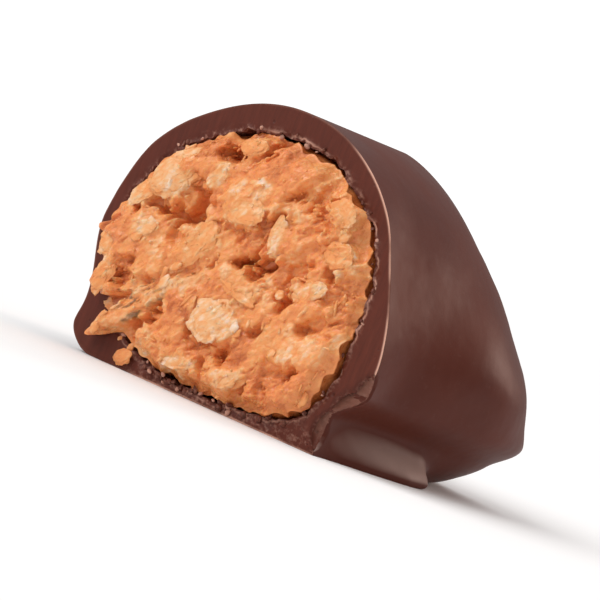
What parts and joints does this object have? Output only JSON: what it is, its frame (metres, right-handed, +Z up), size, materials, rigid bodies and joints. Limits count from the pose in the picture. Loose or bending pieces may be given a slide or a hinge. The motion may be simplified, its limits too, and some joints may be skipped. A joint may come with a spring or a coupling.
{
  "type": "coconut candy stick",
  "caption": "Cut half of a chocolate-coated candy bar with an arched top and a flat base; the cut shows a torn filling of syrupy shredded coconut.",
  "frame": {"origin": "middle of the flat base that the candy rests on", "axes": "+Z up from the base to the crown, +X across the bar to the side with the wider foot, +Y back along the bar, away from the cut face, which looks along -Y"},
  "size_m": [0.0321, 0.03, 0.0238],
  "materials": {
    "chocolate": "satin, set tempered chocolate",
    "coconut": "moist, syrup-soaked shredded coconut"
  },
  "bodies": {
    "root": {"chocolate_coat": "chocolate", "coconut_filling": "coconut"}
  },
  "joints": []
}
